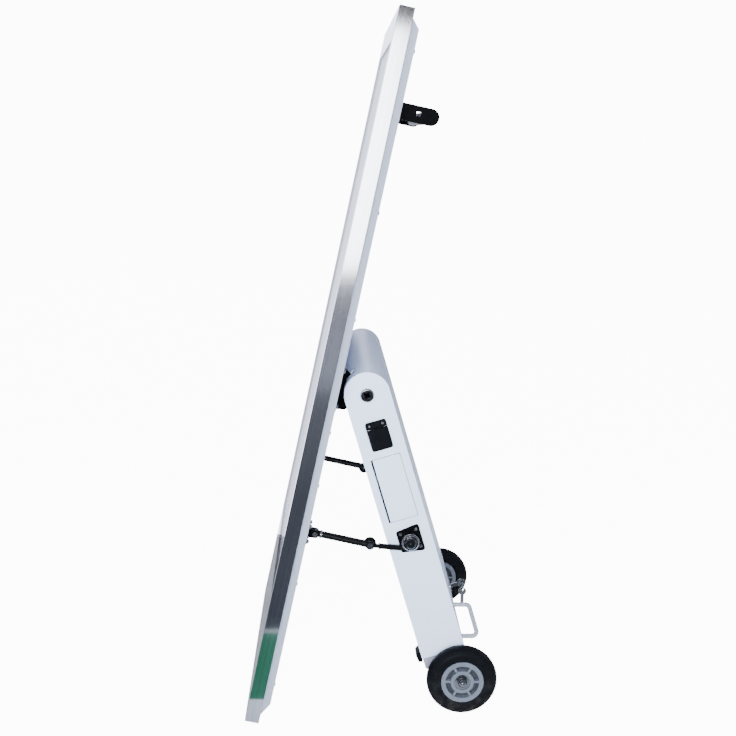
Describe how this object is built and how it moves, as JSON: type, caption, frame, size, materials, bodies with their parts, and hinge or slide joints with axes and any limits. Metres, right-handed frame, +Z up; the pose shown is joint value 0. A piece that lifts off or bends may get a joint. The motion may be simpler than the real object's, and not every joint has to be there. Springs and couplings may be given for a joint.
{
  "type": "wheeled digital a-board",
  "caption": "Wheeled battery-powered digital A-board: leaning framed display with a folding battery leg on two wheels, folding side stays and a carry handle.",
  "frame": {"origin": "on the floor, at the middle of the whole object's footprint box", "axes": "+X across the board, -Y towards the viewer of the screen, +Z up"},
  "size_m": [0.6, 0.4422, 1.2035],
  "materials": {
    "brushed": "brushed, satin",
    "front_glass": "clear toughened, dark when off",
    "lcd": "gloss",
    "inner_steel": "zinc plated",
    "white_paint": "powder coat, satin",
    "board": "matt",
    "speaker_black": "matt",
    "black_steel": "powder coat, fine texture",
    "bronze": "sintered",
    "bright_steel": "polished",
    "screw_steel": "zinc plated",
    "black_rubber": "matt",
    "battery_plastic": "fine texture",
    "tyre_rubber": "semi matt",
    "hub_plastic": "moulded, satin",
    "black_plastic": "fine texture",
    "handle_grey": "grey paint, satin",
    "key_brass": "nickel plated"
  },
  "bodies": {
    "display": {"right_side_rail": "brushed", "left_side_rail": "brushed", "top_rail": "brushed", "bottom_rail": "brushed", "front_glass": "front_glass", "lcd_panel": "lcd", "backlight_tray": "inner_steel", "cross_bars": "inner_steel", "rear_shell": "white_paint", "main_board": "board", "board_plate": "inner_steel", "speakers": "speaker_black", "hinge_brackets": "black_steel", "hinge_bushes": "bronze", "stay_brackets": "black_steel", "stay_pins": "bright_steel", "handle_ends": "black_steel", "handle_grip": "black_steel", "bracket_screws": "screw_steel", "rear_shell_screws": "screw_steel", "rubber_soles": "black_rubber"},
    "leg": {"right_side_plate": "white_paint", "left_side_plate": "white_paint", "front_wrap": "white_paint", "foot_plate": "white_paint", "battery_shelf": "inner_steel", "battery_pack": "battery_plastic", "charger_case": "inner_steel", "hinge_shaft": "bright_steel", "pivot_caps": "bright_steel", "hinge_pins": "screw_steel", "port_strip": "black_rubber", "charging_inlet": "black_plastic", "lock_plates": "black_steel", "leg_screws": "screw_steel", "bumpers": "black_rubber", "axle_brackets": "handle_grey", "axle": "bright_steel", "axle_nuts": "bright_steel"},
    "rear_door": {"rear_door": "white_paint", "rear_bar": "handle_grey"},
    "cam_lock": {"cam_lock": "bright_steel", "lock_key": "key_brass"},
    "hanging_key": {"key_ring": "key_brass", "spare_key": "key_brass"},
    "battery_door": {"battery_door": "white_paint"},
    "port_flap": {"port_flap": "black_rubber"},
    "right_wheel": {"right_tyre": "tyre_rubber", "right_hub": "hub_plastic"},
    "right_front_stay": {"right_front_link": "black_steel", "right_link_ring": "bright_steel"},
    "right_rear_stay": {"right_rear_link": "black_steel", "right_stay_knob_and_rivet": "bright_steel"},
    "left_wheel": {"left_tyre": "tyre_rubber", "left_hub": "hub_plastic"},
    "left_front_stay": {"left_front_link": "black_steel", "left_link_ring": "bright_steel"},
    "left_rear_stay": {"left_rear_link": "black_steel", "left_stay_knob_and_rivet": "bright_steel"}
  },
  "joints": [
    {"name": "leg_fold", "type": "hinge", "parent": "display", "child": "leg", "pos_m": [0, -0.01599, 0.57042], "axis": [-1, 0, 0], "range_deg": [0, 28.5]},
    {"name": "rear_door_hinge", "type": "hinge", "parent": "leg", "child": "rear_door", "pos_m": [0, 0.03414, 0.52614], "axis": [1, 0, 0], "range_deg": [0, 100]},
    {"name": "cam_lock_turn", "type": "hinge", "parent": "rear_door", "child": "cam_lock", "pos_m": [0, 0.15774, 0.13728], "axis": [0, -0.9563, -0.2924], "range_deg": [0, 90]},
    {"name": "hanging_key_swing", "type": "hinge", "parent": "cam_lock", "child": "hanging_key", "pos_m": [0, 0.18356, 0.14343], "axis": [1, 0, 0], "range_deg": [-8, 80]},
    {"name": "battery_door_hinge", "type": "hinge", "parent": "leg", "child": "battery_door", "pos_m": [0.2275, 0.04677, 0.41027], "axis": [0, -0.2924, 0.9563], "range_deg": [0, 105]},
    {"name": "port_flap_hinge", "type": "hinge", "parent": "leg", "child": "port_flap", "pos_m": [0.2339, 0.00155, 0.51304], "axis": [0, -0.9563, -0.2924], "range_deg": [0, 100]},
    {"name": "right_wheel_spin", "type": "hinge", "parent": "leg", "child": "right_wheel", "pos_m": [0.251, 0.15864, 0.0625], "axis": [1, 0, 0], "continuous": true},
    {"name": "right_front_stay_swing", "type": "hinge", "parent": "display", "child": "right_front_stay", "pos_m": [0.2454, -0.1023, 0.32928], "axis": [-1, 0, 0], "range_deg": [0, 66.8]},
    {"name": "right_rear_stay_swing", "type": "hinge", "parent": "right_front_stay", "child": "right_rear_stay", "pos_m": [0.2454, -0.00721, 0.30865], "axis": [1, 0, 0], "range_deg": [0, 145]},
    {"name": "left_wheel_spin", "type": "hinge", "parent": "leg", "child": "left_wheel", "pos_m": [-0.251, 0.15864, 0.0625], "axis": [1, 0, 0], "continuous": true},
    {"name": "left_front_stay_swing", "type": "hinge", "parent": "display", "child": "left_front_stay", "pos_m": [-0.2454, -0.1023, 0.32928], "axis": [-1, 0, 0], "range_deg": [0, 66.8]},
    {"name": "left_rear_stay_swing", "type": "hinge", "parent": "left_front_stay", "child": "left_rear_stay", "pos_m": [-0.2454, -0.00721, 0.30865], "axis": [1, 0, 0], "range_deg": [0, 145]}
  ],
  "couplings": [
    {"joint": "right_front_stay_swing", "follows": "leg_fold", "ratio": 2.3426},
    {"joint": "right_rear_stay_swing", "follows": "leg_fold", "ratio": 5.0844},
    {"joint": "left_front_stay_swing", "follows": "leg_fold", "ratio": 2.3426},
    {"joint": "left_rear_stay_swing", "follows": "leg_fold", "ratio": 5.0844}
  ]
}
